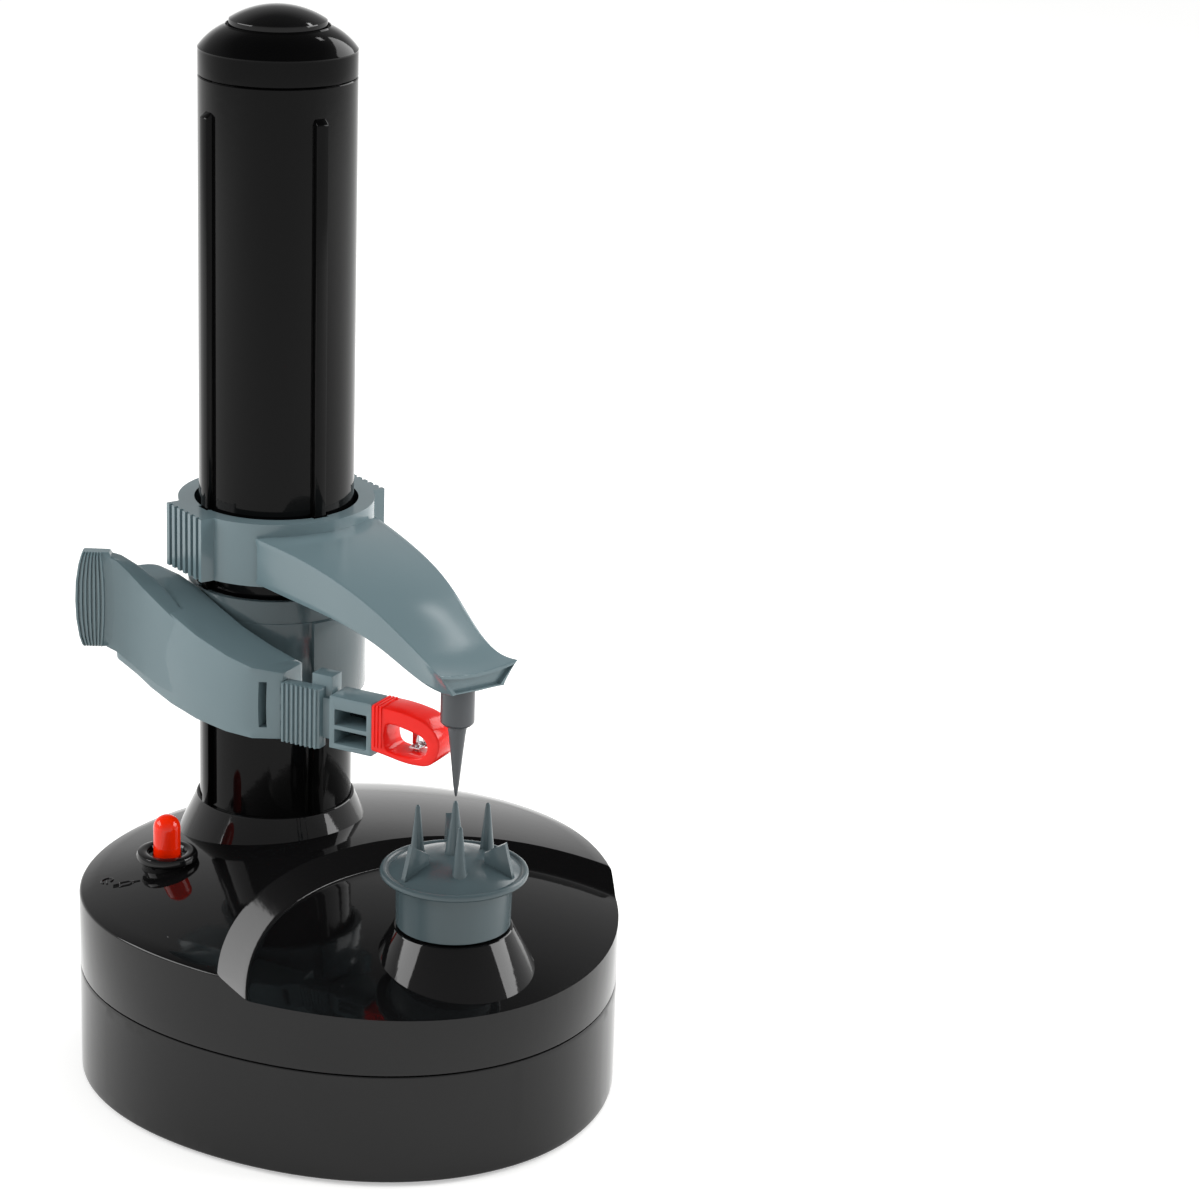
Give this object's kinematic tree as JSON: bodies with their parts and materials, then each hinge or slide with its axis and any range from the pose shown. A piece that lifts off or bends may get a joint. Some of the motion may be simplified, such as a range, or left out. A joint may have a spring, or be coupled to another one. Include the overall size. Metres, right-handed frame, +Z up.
{
  "type": "electric potato peeler",
  "caption": "Upright motor-driven peeler: a pronged turntable turns the food under a spiked arm while a sprung blade arm climbs the ribbed column.",
  "frame": {"origin": "bottom centre of the whole peeler, on the table under its rubber feet", "axes": "+Z up along the column, -Y towards the food side, +Y towards the column side"},
  "size_m": [0.142, 0.1462, 0.2803],
  "materials": {
    "black_plastic": "glossy moulded ABS",
    "grey_plastic": "satin-gloss moulded ABS, blue-grey",
    "red_plastic": "glossy red",
    "gear_plastic": "natural acetal",
    "plate_plastic": "matt black",
    "steel": "machined steel",
    "blade_steel": "stamped stainless steel",
    "bronze": "sintered bronze",
    "rubber": "soft rubber",
    "grip_grey": "darker blue-grey"
  },
  "bodies": {
    "base": {"base_tray": "black_plastic", "base_cover": "black_plastic", "rubber_feet": "rubber", "cover_screws": "steel", "gearbox_plate": "plate_plastic", "plate_screws": "steel", "column_screws": "steel", "motor_screws": "steel", "gear_axles": "steel", "motor_can": "steel", "shaft_bushes": "bronze", "column_tube": "black_plastic", "column_cap": "black_plastic", "cap_crown": "black_plastic", "button_bezel": "black_plastic", "start_switch": "black_plastic", "power_inlet": "black_plastic", "button_spring": "steel"},
    "turntable": {"food_spindle": "steel", "spindle_gear": "gear_plastic", "food_holder": "grip_grey"},
    "middle": {"middle_gear": "gear_plastic"},
    "idler": {"idler_gear": "gear_plastic"},
    "screw": {"lead_screw": "steel", "screw_gear": "gear_plastic"},
    "reduction": {"reduction_gear": "gear_plastic"},
    "motor": {"motor_shaft": "steel", "motor_pinion": "bronze"},
    "button": {"start_button": "red_plastic"},
    "carriage": {"carriage_sleeve": "grey_plastic", "drive_nut": "gear_plastic", "nut_screw": "steel"},
    "arm": {"blade_arm": "grey_plastic", "arm_pin": "steel", "arm_spring": "steel", "blade_carrier": "grey_plastic", "blade_guard": "red_plastic", "blade_pins": "steel"},
    "blade": {"blade": "blade_steel"},
    "holder": {"holder_arm": "grey_plastic", "spike_bearing": "grip_grey"},
    "spike": {"spike": "grip_grey"}
  },
  "joints": [
    {"name": "turntable_spin", "type": "hinge", "parent": "base", "child": "turntable", "pos_m": [-0.0026, -0.0469, 0.01], "axis": [0, 0, 1], "continuous": true},
    {"name": "middle_spin", "type": "hinge", "parent": "base", "child": "middle", "pos_m": [0.00517, -0.01792, 0.016], "axis": [0, 0, 1], "continuous": true},
    {"name": "idler_spin", "type": "hinge", "parent": "base", "child": "idler", "pos_m": [0.00779, 0.00593, 0.01], "axis": [0, 0, 1], "continuous": true},
    {"name": "screw_spin", "type": "hinge", "parent": "base", "child": "screw", "pos_m": [-0.0026, 0.0404, 0.01], "axis": [0, 0, 1], "continuous": true},
    {"name": "reduction_spin", "type": "hinge", "parent": "base", "child": "reduction", "pos_m": [0.02866, -0.00937, 0.02], "axis": [0, 0, 1], "continuous": true},
    {"name": "motor_spin", "type": "hinge", "parent": "base", "child": "motor", "pos_m": [0.03687, 0.01318, 0.024], "axis": [0, 0, 1], "continuous": true},
    {"name": "holder_slide", "type": "slide", "parent": "base", "child": "holder", "axis": [0, 0, 1], "range_m": [0, 0.105]},
    {"name": "carriage_slide", "type": "slide", "parent": "base", "child": "carriage", "axis": [0, 0, 1], "range_m": [0, 0.0945]},
    {"name": "arm_swing", "type": "hinge", "parent": "carriage", "child": "arm", "pos_m": [-0.0332, 0.045, 0.115], "axis": [0, 0, -1], "range_deg": [0, 26], "stiffness_Nm_per_rad": 0.08},
    {"name": "blade_swivel", "type": "hinge", "parent": "arm", "child": "blade", "pos_m": [-0.00405, -0.03113, 0.105], "axis": [0, 0, 1], "range_deg": [-12, 12], "stiffness_Nm_per_rad": 0.002},
    {"name": "spike_spin", "type": "hinge", "parent": "holder", "child": "spike", "pos_m": [-0.0026, -0.0469, 0.12], "axis": [0, 0, 1], "continuous": true},
    {"name": "button_press", "type": "slide", "parent": "base", "child": "button", "axis": [0, 0, -1], "range_m": [0, 0.0025], "stiffness_N_per_m": 600, "deforming": ["button_spring"]}
  ],
  "couplings": [
    {"joint": "middle_spin", "follows": "turntable_spin", "ratio": -1.5},
    {"joint": "idler_spin", "follows": "turntable_spin", "ratio": 1.5},
    {"joint": "screw_spin", "follows": "turntable_spin", "ratio": -0.75},
    {"joint": "reduction_spin", "follows": "turntable_spin", "ratio": 6},
    {"joint": "motor_spin", "follows": "turntable_spin", "ratio": -30},
    {"joint": "carriage_slide", "follows": "holder_slide", "ratio": 0.9}
  ]
}
